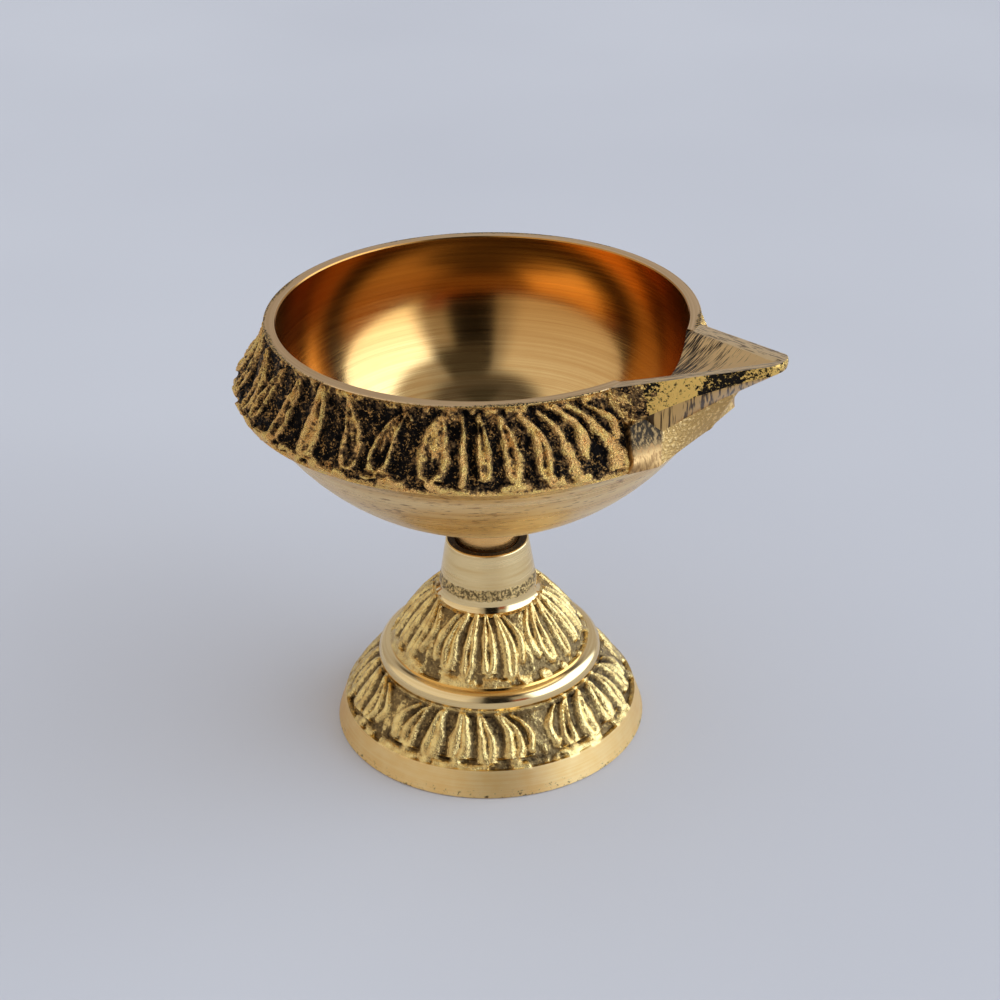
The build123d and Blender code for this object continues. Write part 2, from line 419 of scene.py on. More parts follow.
class Graph:
    """A node tree being filled, with a short call for each kind of node that's used."""

    def __init__(self, tree):
        self.tree = tree
        tree.nodes.clear()

    def join(self, socket, value):
        if isinstance(value, bpy.types.NodeSocket):
            self.tree.links.new(value, socket)
        else:
            socket.default_value = value

    def node(self, kind, inputs=None, **settings):
        """A shader node. An input given as a socket is linked, any other value is set."""
        made = self.tree.nodes.new("ShaderNode" + kind)
        for key, value in settings.items():
            setattr(made, key, value)
        for key, value in (inputs or {}).items():
            self.join(made.inputs[key], value)
        return made

    def maths(self, operation, *values):
        return self.node("Math", dict(enumerate(values)), operation=operation).outputs[0]

    def add(self, first, second):
        return self.maths("ADD", first, second)

    def less(self, first, second):
        return self.maths("SUBTRACT", first, second)

    def mul(self, first, second):
        return self.maths("MULTIPLY", first, second)

    def mul_add(self, first, second, third):
        return self.maths("MULTIPLY_ADD", first, second, third)

    def average(self, first, second):
        return self.mul_add(first, 0.5, self.mul(second, 0.5))

    def remap(self, value, low, high, start=0.0, end=1.0, eased=False):
        """Carries low..high over to start..end, and holds it there beyond them."""
        return self.node("MapRange", {0: value, 1: low, 2: high, 3: start, 4: end},
                         interpolation_type="SMOOTHSTEP" if eased else "LINEAR").outputs[0]

    def ramp(self, value, *stops):
        """Maps value through stops of (position, grey)."""
        made = self.node("ValToRGB", {0: value})
        elements = made.color_ramp.elements
        while len(elements) < len(stops):
            elements.new(0.5)
        for element, (position, grey) in zip(elements, stops):
            element.position = position
            element.color = (grey, grey, grey, 1)
        return made.outputs[0]

    def mix(self, share, first, second):
        """A colour between two, each a socket or three numbers."""
        ends = [(*end, 1) if isinstance(end, tuple) else end for end in (first, second)]
        return self.node("Mix", {0: share, 6: ends[0], 7: ends[1]}, data_type="RGBA").outputs[2]

    def shades(self, value, low, high, dark, light):
        """dark where value is under low, light where it's over high."""
        return self.mix(self.ramp(value, (low, 0.0), (high, 1.0)), dark, light)

    def vector(self, operation, inputs):
        return self.node("VectorMath", inputs, operation=operation).outputs[0]

    def join_xyz(self, *parts):
        return self.node("CombineXYZ", dict(enumerate(parts))).outputs[0]

    def xyz(self, vector):
        return self.node("SeparateXYZ", {0: vector}).outputs[:]

    def place(self):
        """The piece's own coordinates in millimetres."""
        return self.vector("SCALE", {0: self.node("TexCoord").outputs["Object"], 3: 1 / MM})

    def mirrored(self, place):
        """The place with its two sides alike: x, the distance from the middle, and z."""
        x, y, z = self.xyz(place)
        return self.join_xyz(x, self.maths("ABSOLUTE", y), z)

    def spun(self, vector, degrees):
        return self.node("VectorRotate", {0: vector, "Angle": math.radians(degrees)},
                         rotation_type="Z_AXIS").outputs[0]

    def noise(self, vector, scale, detail=2.0, rough=0.5):
        return self.node("TexNoise", {"Vector": vector, "Scale": scale, "Detail": detail,
                                      "Roughness": rough}, normalize=True).outputs[0]

    def speckle(self, place, scale):
        """Noise spread out to run from -1 to 1."""
        return self.remap(self.noise(place, scale, 3.0, 0.6), 0.36, 0.64, -1.0, 1.0)

    def stretched_noise(self, place, scales, detail):
        """Noise drawn out by different amounts along X, Y and Z, per millimetre."""
        return self.noise(self.vector("MULTIPLY", {0: place, 1: scales}), 1.0, detail)

    def turned_noise(self, place, per_mm, drift, detail=2.0):
        """Noise drawn out into rings round the axis, as a lathe tool leaves."""
        x, y, z = self.xyz(place)
        flat = self.join_xyz(x, y)
        radius = self.node("VectorMath", {0: flat}, operation="LENGTH").outputs["Value"]
        heading = self.vector("SCALE", {0: self.vector("NORMALIZE", {0: flat}), 3: drift})
        lifted = self.join_xyz(0.0, 0.0, self.mul(z, per_mm))
        vector = self.vector("ADD", {0: heading, 1: lifted})
        return self.node("TexNoise", {"Vector": vector, "W": self.mul(radius, per_mm),
                                      "Scale": 1.0, "Detail": detail},
                         noise_dimensions="4D").outputs[0]


def metal(name, metallic=1.0):
    """Makes a material of the function under it.

    That function returns the colour, the roughness and the bump as (height, strength, mm).
    """
    def make(build):
        material = bpy.data.materials.new(name)
        material.use_nodes = True
        g = Graph(material.node_tree)
        colour, gloss, (height, strength, distance) = build(g, g.place())
        bump = g.node("Bump", {"Height": height, "Strength": strength, "Distance": distance * MM})
        shader = g.node("BsdfPrincipled", {
            "Metallic": metallic, "Base Color": colour, "Roughness": gloss,
            "Normal": bump.outputs[0]})
        g.node("OutputMaterial", {0: shader.outputs[0]})
        return material
    return make


def turned_brass(name, light, dark, rough_low, rough_high, per_mm, bump):
    """Lathe-turned brass: fine rings in the colour, the gloss and the surface."""
    @metal(name)
    def brass(g, place):
        fine = g.turned_noise(place, per_mm, 0.6)
        tone = g.average(fine, g.turned_noise(place, per_mm * 0.22, 0.9))
        colour = g.shades(tone, 0.35, 0.62, dark, light)
        colour = g.mix(g.mul(g.noise(place, 0.35, 3.0), 0.25), colour, dark)
        return colour, g.remap(fine, 0.3, 0.7, rough_low, rough_high), (tone, bump, 0.05)
    return brass


def patina_brass(name, gold, shadow, grime, fleck, from_depth, to_depth, speck, gloss_range,
                 grit=0.26, flecks_at=(0.84, 0.92)):
    """Cast relief: rubbed gold on the crests, dark gritty patina in the hollows."""
    @metal(name)
    def brass(g, place):
        depth = g.node("Attribute", attribute_name="depth").outputs["Fac"]
        loosened = g.mul_add(g.speckle(place, 1.9), speck, depth)
        loosened = g.mul_add(g.speckle(place, 0.45), 0.5 * speck, loosened)
        worn = g.remap(loosened, from_depth, to_depth, eased=True)
        tint = g.mix(g.ramp(g.noise(place, 0.6, 3.0), (0.38, 0.0), (0.62, 1.0)), gold, shadow)
        flecks = g.mul_add(g.noise(place, 0.7, 2.0), 0.5, g.noise(place, 3.0, 3.0, 0.7))
        flecks = g.remap(flecks, *flecks_at, eased=True)
        bottom = g.remap(loosened, to_depth + 0.05, to_depth + 0.38, 1.0, 0.0, eased=True)
        dark = g.mix(g.mul(bottom, 0.75), grime, fleck)
        dark = g.mix(g.mul(flecks, 0.75), dark, shadow)
        bump = g.mul_add(g.noise(place, 1.2, 2.0), 0.5, g.noise(place, 3.2, 2.0, 0.7))
        gloss = g.remap(worn, 0.0, 1.0, *gloss_range)
        return g.mix(worn, tint, dark), gloss, (bump, 1.0, grit)
    return brass


@metal("bowl_inside")
def inside(g, place):
    """The turned inside: polished on the floor, duller up the wall, with painted shade that turns
    the wall a darker, deeper orange.
    """
    fine = g.turned_noise(place, 7.0, 0.6)
    tone = g.average(fine, g.turned_noise(place, 1.5, 0.9))
    # painted shade: 0 on the floor, 1 up the wall, where the colour below turns darker and deeper
    # orange
    up = g.remap(g.xyz(place)[2], 49.0, 67.0, eased=True)
    low = g.shades(tone, 0.35, 0.62, (0.76, 0.46, 0.17), (0.92, 0.64, 0.27))
    # painted shade: the wall's darker, deeper orange copy of the floor's colours
    high = g.shades(tone, 0.35, 0.62, (0.50, 0.22, 0.05), (0.64, 0.31, 0.075))
    colour = g.mix(g.mul(g.noise(place, 0.35, 3.0), 0.25), g.mix(up, low, high),
                   (0.60, 0.32, 0.09))
    gloss = g.mul_add(up, 0.07, g.remap(fine, 0.3, 0.7, 0.07, 0.15))
    return colour, gloss, (tone, 0.12, 0.05)


@metal("bowl_rim")
def rim_metal(g, place):
    """The faced rim: fine turned lines, with casting grit left along parts of its outer edge."""
    x, y, _ = g.xyz(place)
    radius = g.maths("SQRT", g.mul_add(x, x, g.mul(y, y)))
    fine = g.turned_noise(place, 3.0, 0.6)
    clean = g.shades(fine, 0.35, 0.62, (0.74, 0.47, 0.21), (0.90, 0.62, 0.32))
    edge = g.mul_add(g.noise(place, 0.07, 1.0), 2.6, radius)
    edge = g.mul_add(g.noise(place, 1.6, 3.0, 0.7), 0.9, edge)
    grit = g.remap(edge, 35.95, 36.15)
    grain = g.ramp(g.noise(place, 3.0, 3.0, 0.7), (0.46, 0.0), (0.56, 1.0))
    raw = g.mix(grain, (0.03, 0.02, 0.014), (0.88, 0.56, 0.19))
    bump = g.mul_add(g.mul(grit, grain), 2.0, fine)
    return g.mix(grit, clean, raw), g.mul_add(grit, 0.14, 0.34), (bump, 0.3, 0.06)


@metal("bowl_shell")
def shell_metal(g, place):
    """The turned lower bowl: satin, with fine rings and brown pits drawn out round it."""
    fine = g.turned_noise(place, 2.4, 0.8)
    tone = g.average(fine, g.turned_noise(place, 0.5, 1.2))
    colour = g.shades(tone, 0.36, 0.60, (0.84, 0.54, 0.22), (1.0, 0.76, 0.40))
    pits = g.turned_noise(place, 2.6, 22.0, 4.0)
    pits = g.mul_add(g.noise(place, 0.12, 2.0), 0.25, g.less(pits, 0.125))
    colour = g.mix(g.remap(pits, 0.57, 0.68, 0.0, 0.75), colour, (0.34, 0.16, 0.07))
    return colour, g.remap(fine, 0.3, 0.7, 0.24, 0.38), (tone, 0.35, 0.05)


@metal("spout_ledge")
def ledge_filed(g, place):
    """Brass worked with a hand file on both sides of the spout: scratches with dark bottoms."""
    slanted = g.spun(g.mirrored(place), 28.0)
    scales = (3.4, 0.30, 0.20)
    scratch = g.stretched_noise(slanted, scales, 2.0)
    broad = g.stretched_noise(slanted, tuple(0.33 * s for s in scales), 1.0)
    both = g.mul_add(scratch, 0.6, g.mul(broad, 0.4))
    colour = g.shades(both, 0.43, 0.50, (0.10, 0.06, 0.03), (0.68, 0.42, 0.155))
    return colour, 0.33, (scratch, 0.5, 0.15)


@metal("spout_filed")
def top_filed(g, place):
    """The filed top: scratches across the wick channel, and along the strips beside it."""
    x, y, _ = g.xyz(place)
    side = g.maths("ABSOLUTE", y)
    across = g.stretched_noise(g.spun(place, 30.0), (5.0, 0.26, 0.4), 3.0)
    along = g.stretched_noise(g.spun(g.mirrored(place), 29.0), (0.35, 6.0, 0.6), 2.0)
    # darker towards the bowl, clean towards the tip
    tone = g.mul_add(x, 0.016, g.less(across, 0.62))
    tone = g.mul_add(g.noise(place, 0.28, 2.0), 0.30, g.less(tone, 0.15))
    trough = g.shades(tone, 0.40, 0.47, (0.035, 0.022, 0.012), (0.86, 0.57, 0.25))
    strip = g.shades(along, 0.38, 0.48, (0.24, 0.15, 0.07), (0.93, 0.68, 0.36))
    beside = g.mul_add(x, CHANNEL_SPREAD, side)
    beside = g.less(beside, CHANNEL_SPREAD * CHANNEL_APEX[0])
    beside = g.mul_add(along, 0.8, g.less(beside, 0.4))
    share = g.remap(beside, -0.08, 0.08)
    height = g.mul_add(g.less(along, across), share, across)
    return g.mix(share, trough, strip), 0.32, (height, 0.5, 0.15)


@metal("foot_satin")
def foot_metal(g, place):
    """The satin foot: fine lines round it, and dark specks left along its lower edge."""
    tone = g.average(g.turned_noise(place, 4.5, 1.4), g.noise(place, 0.35, 3.0))
    colour = g.shades(tone, 0.38, 0.60, (0.94, 0.60, 0.22), (0.98, 0.69, 0.30))
    low = g.remap(g.xyz(place)[2], 0.2, 2.6, 0.17, -0.02)
    dark = g.remap(g.add(g.noise(place, 1.3, 4.0, 0.75), low), 0.70, 0.77)
    return g.mix(g.mul(dark, 0.85), colour, (0.07, 0.04, 0.02)), 0.42, (tone, 0.25, 0.06)


@metal("spout_keel")
def keel_metal(g, place):
    """The keel: grainy olive gold, with a dark hatched cheek towards the band."""
    _, y, z = g.xyz(place)
    hatch = g.stretched_noise(place, (2.6, 2.6, 0.7), 3.0)
    # the line where the cheek meets the keel's flat side leans with the height
    edge = g.mul_add(hatch, 0.5, g.mul_add(z, 0.462, g.maths("ABSOLUTE", y)))
    cheek = g.remap(edge, 41.3, 41.6)
    upper = g.remap(g.mul_add(hatch, 5.0, z), 69.3, 70.3)
    dark = g.mul(g.mul(cheek, upper), g.ramp(hatch, (0.45, 0.97), (0.62, 0.55)))
    grain = g.speckle(place, 1.8)
    olive = g.shades(grain, 0.1, 0.9, (0.60, 0.37, 0.125), (0.92, 0.64, 0.27))
    tan = g.shades(hatch, 0.4, 0.6, (0.38, 0.21, 0.08), (0.72, 0.44, 0.17))
    colour = g.mix(dark, g.mix(cheek, olive, tan), (0.035, 0.028, 0.02))
    height = g.mul_add(g.less(hatch, grain), cheek, grain)
    return colour, 0.46, (height, 0.6, 0.10)


@metal("spout_fascia")
def fascia_metal(g, place):
    """The spout's side: black casting skin at the root and in one patch, gold between."""
    x, _, z = g.xyz(place)
    reach = g.mul_add(g.speckle(place, 1.2), 0.5, g.add(g.mul_add(z, -0.35, x), 26.5))
    share = g.maths("DIVIDE", g.less(reach, 34.0), 20.0)
    black = g.ramp(share, (0.0, 0.80), (0.14, 0.66), (0.22, 0.22), (0.44, 0.10),
                   (0.465, 0.80), (0.66, 0.86), (0.72, 0.48), (0.95, 0.35))
    fine = g.noise(place, 2.0, 4.0, 0.7)
    dark = g.remap(g.less(black, g.mul_add(fine, 3.2, -1.1)), -0.12, 0.12)
    colour = g.mix(dark, (1.0, 0.63, 0.165), (0.02, 0.016, 0.012))
    return colour, g.remap(dark, 0.0, 1.0, 0.28, 0.6), (fine, 1.0, 0.22)


@metal("stand_turned")
def collar_metal(g, place):
    """Bright turned brass, with a strip of raw casting grain left near the collar's foot."""
    z = g.xyz(place)[2]
    fine = g.turned_noise(place, 3.5, 0.6)
    tone = g.average(fine, g.turned_noise(place, 0.8, 0.9))
    clean = g.shades(tone, 0.36, 0.56, (0.84, 0.58, 0.25), (0.96, 0.72, 0.36))
    edge = g.mul_add(g.speckle(place, 1.6), 0.14, z)
    strip = g.mul(g.remap(edge, 26.7, 26.9), g.remap(edge, 28.6, 28.8, 1.0, 0.0))
    grain = g.noise(place, 2.2, 3.0, 0.7)
    raw = g.shades(grain, 0.44, 0.57, (0.11, 0.065, 0.025), (0.88, 0.62, 0.25))
    share = g.mul(strip, 0.92)
    gloss = g.mul(g.remap(fine, 0.3, 0.7, 0.16, 0.30), g.remap(z, 26.4, 27.4, 0.55, 1.0))
    bump = g.mul_add(g.mul(grain, share), 2.5, tone)
    return g.mix(share, clean, raw), g.mul_add(share, 0.25, gloss), (bump, 0.15, 0.06)


band_metal = patina_brass(
    "band_patina", (0.98, 0.66, 0.20), (0.92, 0.52, 0.17), (0.012, 0.010, 0.009),
    (0.30, 0.17, 0.07), 0.44, 0.62, 0.27, (0.22, 0.55), 0.44, (0.83, 0.89))
lip_metal = patina_brass(
    "collar_lip", (0.62, 0.40, 0.14), (0.36, 0.22, 0.08), (0.05, 0.035, 0.02),
    (0.34, 0.20, 0.06), 0.10, 0.30, 0.35, (0.4, 0.6))
tier_metal = patina_brass(
    "stand_patina", (0.95, 0.69, 0.26), (0.70, 0.46, 0.16), (0.06, 0.038, 0.018),
    (0.28, 0.18, 0.07), 0.32, 0.60, 0.14, (0.18, 0.40), 0.14, (0.84, 0.94))
stud_metal = turned_brass(
    "stud_copper", (1.0, 0.62, 0.24), (0.86, 0.46, 0.15), 0.18, 0.32, 4.0, 0.2)
grime_metal = turned_brass(
    "joint_grime", (0.10, 0.06, 0.03), (0.015, 0.012, 0.01), 0.5, 0.7, 2.0, 0.4)
hollow_metal = turned_brass(
    "stand_hollow", (0.55, 0.42, 0.22), (0.25, 0.17, 0.08), 0.45, 0.6, 0.8, 0.6)

# ======== Bowl ========

SLOT_RIM, SLOT_BAND, SLOT_SHELL = 0, 1, 2
BAND_FIRST, BAND_ROWS = 2, 46
BOWL_COLUMNS, CAVITY_COLUMNS, CORE_COLUMNS = 840, 256, 420
BAND_SHOULDER = (39.97, 66.5)


def bowl_outline():
    """Rows down the outside of the bowl, from the axis over the rim to the boss underneath."""
    bevel = 0.12
    under = (math.sqrt(SHELL_RADIUS**2 - (SHELL_CENTRE - BAND_UNDERSIDE_HEIGHT)**2),
             BAND_UNDERSIDE_HEIGHT)
    boss_top = (BOSS_RADIUS, SHELL_CENTRE - math.sqrt(SHELL_RADIUS**2 - BOSS_RADIUS**2))
    middle_angle = 0.5 * (math.atan2(under[1] - SHELL_CENTRE, under[0])
                          + math.atan2(boss_top[1] - SHELL_CENTRE, boss_top[0]))
    middle = (SHELL_RADIUS * math.cos(middle_angle),
              SHELL_CENTRE + SHELL_RADIUS * math.sin(middle_angle))
    top = (RIM_OUTER, RIM_HEIGHT - bevel)
    socket_radius, socket_depth = SOCKET
    flare = arc(top, (36.6, 71.0), BAND_SHOULDER, BAND_ROWS - 9)
    nose = arc(BAND_SHOULDER, (BAND_RADIUS - 0.05, 65.1), (39.5, BAND_FOOT_HEIGHT), 8)
    return rows_of(
        ([(0.0, RIM_HEIGHT), (RIM_OUTER - bevel, RIM_HEIGHT)], SLOT_RIM),
        (flare + nose, SLOT_BAND),
        (straight((39.5, BAND_FOOT_HEIGHT), under, 3), SLOT_SHELL),
        (arc(under, middle, boss_top, 16), SLOT_SHELL),
        ([boss_top, (BOSS_RADIUS, BOSS_HEIGHT + 0.3), (BOSS_RADIUS - 0.3, BOSS_HEIGHT),
          (socket_radius, BOSS_HEIGHT), (socket_radius, BOSS_HEIGHT + socket_depth),
          (0.0, BOSS_HEIGHT + socket_depth)], SLOT_SHELL),
    )


def cavity_outline():
    """Rows of the hollow's tool, from the axis above the rim, down the wall, to the floor."""
    drop = CAVITY_WIDEST - CAVITY_FLOOR
    radius = RIM_INNER / math.cos(math.asin((RIM_HEIGHT - CAVITY_WIDEST) / drop))
    first = math.asin((RIM_HEIGHT - 0.2 - CAVITY_WIDEST) / drop)
    wall = [(radius * math.cos(a), CAVITY_WIDEST + drop * math.sin(a))
            for a in np.linspace(first, -0.5 * math.pi, 72)[:-1]]
    lid = TIP_HEIGHT + 5.0
    edge = RIM_INNER + 0.2
    return rows_of(
        ([(0.0, lid), (edge, lid), (edge, RIM_HEIGHT)], 0),
        (wall, 0),
        ([(0.0, CAVITY_FLOOR)], 0),
    )


# ---- spout, as a grid of rows over a fan of directions seen from above ----
SPOUT_CENTRE = 29.0
SPOUT_COLUMNS = 241
LIP_ROOT = (31.8, 13.8)
LIP_TIP_RADIUS = 3.8
NOSE_STEPS = 20
# height of the fascia's lower edge, and of the ledge's, over the reach from the axis
FASCIA_FOOT = ((31.0, 35.0, 36.2, 37.0, 40.0, 43.1, 46.6, 50.1, 53.0),
               (70.6, 70.8, 71.3, 71.8, 73.5, 75.1, 76.6, 77.9, 78.7))
LEDGE_FOOT = ((31.0, 35.0, 36.2, 38.3, 39.3, 42.5, 46.0, 47.4, 50.0, 51.5),
              (70.3, 70.4, 70.9, 69.0, 69.5, 71.5, 73.9, 74.7, 76.1, 76.9))
KEEL_LEVELS = (64.4, 75.0)
KEEL_NOSE_REACH = (40.4, 46.6)
KEEL_NOSE_RADIUS = (2.4, 1.7)
KEEL_CORNER_REACH = (39.5, 36.8)
KEEL_CORNER_SIDE = (11.5, 6.6)
KEEL_END_ANGLE = (23.9, 17.6)
KEEL_PROUD = 0.30
# the filed flat under the spout: (reach, height) at its inner and outer ends
UNDERSIDE = ((34.0, 60.1), (48.0, 71.6))


def lip_top(reach):
    share = (reach - LIP_ROOT[0]) / (TIP_REACH - LIP_ROOT[0])
    return RIM_HEIGHT + (TIP_HEIGHT - RIM_HEIGHT) * share


def channel_height(x, y):
    """Height of the channel's conical floor over a point."""
    tilt = math.radians(CHANNEL_TILT)
    spread = math.tan(math.radians(CHANNEL_HALF_ANGLE))**2
    dx = x - CHANNEL_APEX[0]
    # (y^2 + across^2) = spread * along^2, solved for the height above the apex
    c, s = math.cos(tilt), math.sin(tilt)
    a = c * c - spread * s * s
    b = 2 * dx * c * s * (1 + spread)
    k = dx * dx * (s * s - spread * c * c) + y * y
    inside = np.maximum(b * b - 4 * a * k, 0.0)
    return CHANNEL_APEX[1] + (-b - np.sqrt(inside)) / (2 * a)


def spout_top(x, y):
    """Height of the filed top, running softly down into the channel."""
    flat = np.maximum(lip_top(x), RIM_HEIGHT)
    dx = CHANNEL_APEX[0] - x
    half = np.clip(dx, 0.0, None) * math.tan(math.radians(CHANNEL_HALF_ANGLE)) * 1.15
    side = np.abs(y)
    over_channel = (dx > 0) & (side < half)
    gap = flat - channel_height(x, np.minimum(side, half))
    soft = 0.5 * (gap + np.sqrt(gap * gap + CHANNEL_BLEND**2))
    return flat - np.where(over_channel, soft, 0.0)


def ray_reach(outline, angles):
    """Distance from the spout's centre to a closed outline along each direction."""
    a = np.asarray(outline, float)
    b = np.roll(a, -1, axis=0)
    reach = np.zeros(len(angles))
    for k, angle in enumerate(angles):
        d = np.array([math.cos(angle), math.sin(angle)])
        e = b - a
        cross = d[0] * e[:, 1] - d[1] * e[:, 0]
        cross = np.where(np.abs(cross) < 1e-9, 1e-9, cross)
        along = (a[:, 0] * e[:, 1] - a[:, 1] * e[:, 0]) / cross
        where = (a[:, 0] * d[1] - a[:, 1] * d[0]) / cross
        hit = (where >= -1e-6) & (where <= 1 + 1e-6) & (along > 0)
        reach[k] = along[hit].max() if hit.any() else 1.0
    return reach


def nose_from(corner, centre_x, radius):
    """Points of a round nose, from the tangent to one corner over to its mirror image."""
    dx, dy = centre_x - corner[0], -corner[1]
    length = math.hypot(dx, dy)
    start = math.atan2(dy, dx) + math.pi / 2 - math.asin(min(1.0, radius / length))
    return [(centre_x + radius * math.cos(a), radius * math.sin(a))
            for a in np.linspace(start, -start, NOSE_STEPS)]


def beak():
    """Plan of the lip about the spout's centre: root corners joined to the round tip."""
    root = (LIP_ROOT[0] - SPOUT_CENTRE, LIP_ROOT[1])
    nose = nose_from(root, TIP_REACH - LIP_TIP_RADIUS - SPOUT_CENTRE, LIP_TIP_RADIUS)
    back = [(-6.0, -root[1] + 2.0), (-6.0, root[1] - 2.0)]
    return [*back, root, *nose, (root[0], -root[1])]


def keel_plan(height):
    """Plan of the keel at a height: cheeks ending at the band, flat sides and a round nose."""
    def between(pair):
        return float(np.interp(height, KEEL_LEVELS, pair))
    end_angle = math.radians(between(KEEL_END_ANGLE))
    skin = float(crest_radius(np.array([height]))[0]) + KEEL_PROUD
    end = (skin * math.cos(end_angle) - SPOUT_CENTRE, skin * math.sin(end_angle))
    corner = (between(KEEL_CORNER_REACH) - SPOUT_CENTRE, between(KEEL_CORNER_SIDE))
    radius = between(KEEL_NOSE_RADIUS)
    nose = nose_from(corner, between(KEEL_NOSE_REACH) - radius - SPOUT_CENTRE, radius)
    root = ((skin - 3.0) * math.cos(end_angle) - SPOUT_CENTRE, (skin - 3.0) * math.sin(end_angle))
    half = [(-4.0, root[1]), root, end, corner]
    return [(x, -y) for x, y in half[:1]] + half + nose + [(x, -y) for x, y in half[:0:-1]]


def spout_mesh(materials):
    """The lip, fascia, ledge and keel as one closed solid whose root is buried in the wall."""
    columns = SPOUT_COLUMNS
    angles = np.radians(np.linspace(-90.0, 90.0, columns))
    cos, sin = np.cos(angles), np.sin(angles)
    lip = ray_reach(beak(), angles)
    levels = np.linspace(KEEL_LEVELS[0], KEEL_LEVELS[1] + 3.0, 46)
    keel = np.array([ray_reach(keel_plan(level), angles) for level in levels])

    def keel_at(height):
        """The keel's reach along every direction at a height for each of them."""
        spot = np.clip((height - levels[0]) / (levels[1] - levels[0]), 0.0, len(levels) - 1.001)
        low = spot.astype(int)
        share = spot - low
        rows = np.arange(columns)
        return keel[low, rows] * (1 - share) + keel[low + 1, rows] * share

    def over(table, reach):
        return np.interp(SPOUT_CENTRE + reach * cos, *table)

    top_slot, fascia_slot, ledge_slot, keel_slot = range(4)
    rows, slots = [], []

    def put(reach, height, slot):
        rows.append(np.stack([SPOUT_CENTRE + reach * cos, reach * sin, height + 0 * reach], axis=1))
        slots.append(slot)

    def top_at(reach):
        return spout_top(SPOUT_CENTRE + reach * cos, reach * sin)

    top_rows = 52
    for k in range(top_rows):
        share = 0.04 + 0.945 * k / (top_rows - 1)
        put(lip * share, top_at(lip * share), top_slot)
    put(lip - 0.12, top_at(lip - 0.12), top_slot)
    edge = top_at(lip - 0.12) - 0.12
    fascia_foot = np.minimum(over(FASCIA_FOOT, lip), edge - 0.3)
    for k in range(8):
        share = k / 7
        swell = 0.10 * math.sin(math.pi * share)
        put(lip - 0.10 * share + swell - 0.02, edge * (1 - share) + fascia_foot * share,
            fascia_slot)
    start = keel_at(over(LEDGE_FOOT, lip))
    for _ in range(14):
        start = 0.5 * (start + keel_at(over(LEDGE_FOOT, start)))
    start_height = np.minimum(over(LEDGE_FOOT, start), fascia_foot - 0.05)
    # inwards to the keel, or outwards on to the top of its cheeks near the root
    for k in range(1, 8):
        share = k / 7
        put(lip - 0.12 + (start - lip + 0.12) * share,
            fascia_foot * (1 - share) + start_height * share, ledge_slot)
    foot_height = np.full(columns, KEEL_LEVELS[0])
    keel_rows = 26
    for k in range(1, keel_rows + 1):
        height = start_height + (foot_height - start_height) * k / keel_rows
        put(keel_at(height), height, keel_slot)
    bottom = keel_at(foot_height)
    for share in (0.985, 0.8, 0.5, 0.2):
        put(bottom * share, foot_height - 0.15, keel_slot)
    points = np.concatenate(rows)
    faces, face_slots = [], []
    count = len(rows)
    for i in range(count - 1):
        for c in range(columns - 1):
            a, b = i * columns + c, (i + 1) * columns + c
            faces.append((a, b, b + 1, a + 1))
            face_slots.append(slots[i + 1])
        a, b = i * columns, (i + 1) * columns
        faces.append((a, a + columns - 1, b + columns - 1, b))
        face_slots.append(keel_slot)
    faces.append(tuple(range(columns)))
    face_slots.append(top_slot)
    last = (count - 1) * columns
    faces.append(tuple(range(last + columns - 1, last - 1, -1)))
    face_slots.append(keel_slot)
    return make_object("spout", points, faces, face_slots, materials)


def channel_tool():
    """What the wick channel takes out of the wall: a block over the same surface as the spout's."""
    xs = np.linspace(RIM_INNER - 9.0, 36.6, 72)
    ys = np.linspace(-10.9, 10.9, 120)
    x, y = np.meshgrid(xs, ys, indexing="ij")
    low = spout_top(x, y) + 0.02
    wide, deep = len(ys), len(xs)
    count = wide * deep
    points = np.concatenate([
        np.stack([x.ravel(), y.ravel(), low.ravel()], axis=1),
        np.stack([x.ravel(), y.ravel(), np.full(count, TIP_HEIGHT + 8.0)], axis=1)])
    faces = []
    for i in range(deep - 1):
        for j in range(wide - 1):
            a = i * wide + j
            faces.append((a, a + 1, a + wide + 1, a + wide))
            faces.append((a + count, a + wide + count, a + wide + 1 + count, a + 1 + count))
    border = [i * wide for i in range(deep)]
    border += [(deep - 1) * wide + j for j in range(1, wide)]
    border += [i * wide + wide - 1 for i in range(deep - 2, -1, -1)]
    border += [j for j in range(wide - 2, 0, -1)]
    for a, b in zip(border, border[1:] + border[:1]):
        faces.append((a, b, b + count, a + count))
    return make_object("channel", points, faces, [0] * len(faces), [top_filed])


def underside_tool():
    """The wedge filed away under the keel and the band's edge, clear of the lower bowl."""
    (x0, z0), (x1, z1) = UNDERSIDE
    points = [(x, y, z) for y in (-12.4, 12.4)
              for x, z in ((x0, z0), (x1, z1), (x1, z0 - 4.0), (x0, z0 - 4.0))]
    faces = [(0, 1, 2, 3), (7, 6, 5, 4), (0, 4, 5, 1), (1, 5, 6, 2), (2, 6, 7, 3), (3, 7, 4, 0)]
    wedge = outward(make_object("underside", points, faces, [0] * 6, [keel_metal]))
    radius = SHELL_RADIUS + 0.02
    high, low = (math.asin((z - SHELL_CENTRE) / radius) for z in (z1, z0 - 5.0))
    wall = [(radius * math.cos(a), SHELL_CENTRE + radius * math.sin(a), 0)
            for a in np.linspace(high, low, 40)]
    wall = [(0.0, wall[0][1], 0), *wall, (0.0, wall[-1][1], 0)]
    core = outward(turned("core", wall, CORE_COLUMNS, [keel_metal]))
    boolean(wedge, core, "DIFFERENCE")
    return wedge


def crest_radius(height):
    """Radius of the band's plain crest surface at a height."""
    rows = [(r, z) for r, z, slot in bowl_outline() if slot == SLOT_BAND]
    rows.append((39.5, BAND_FOOT_HEIGHT))
    r, z = np.array(rows).T
    order = np.argsort(z)
    return np.interp(height, z[order], r[order])


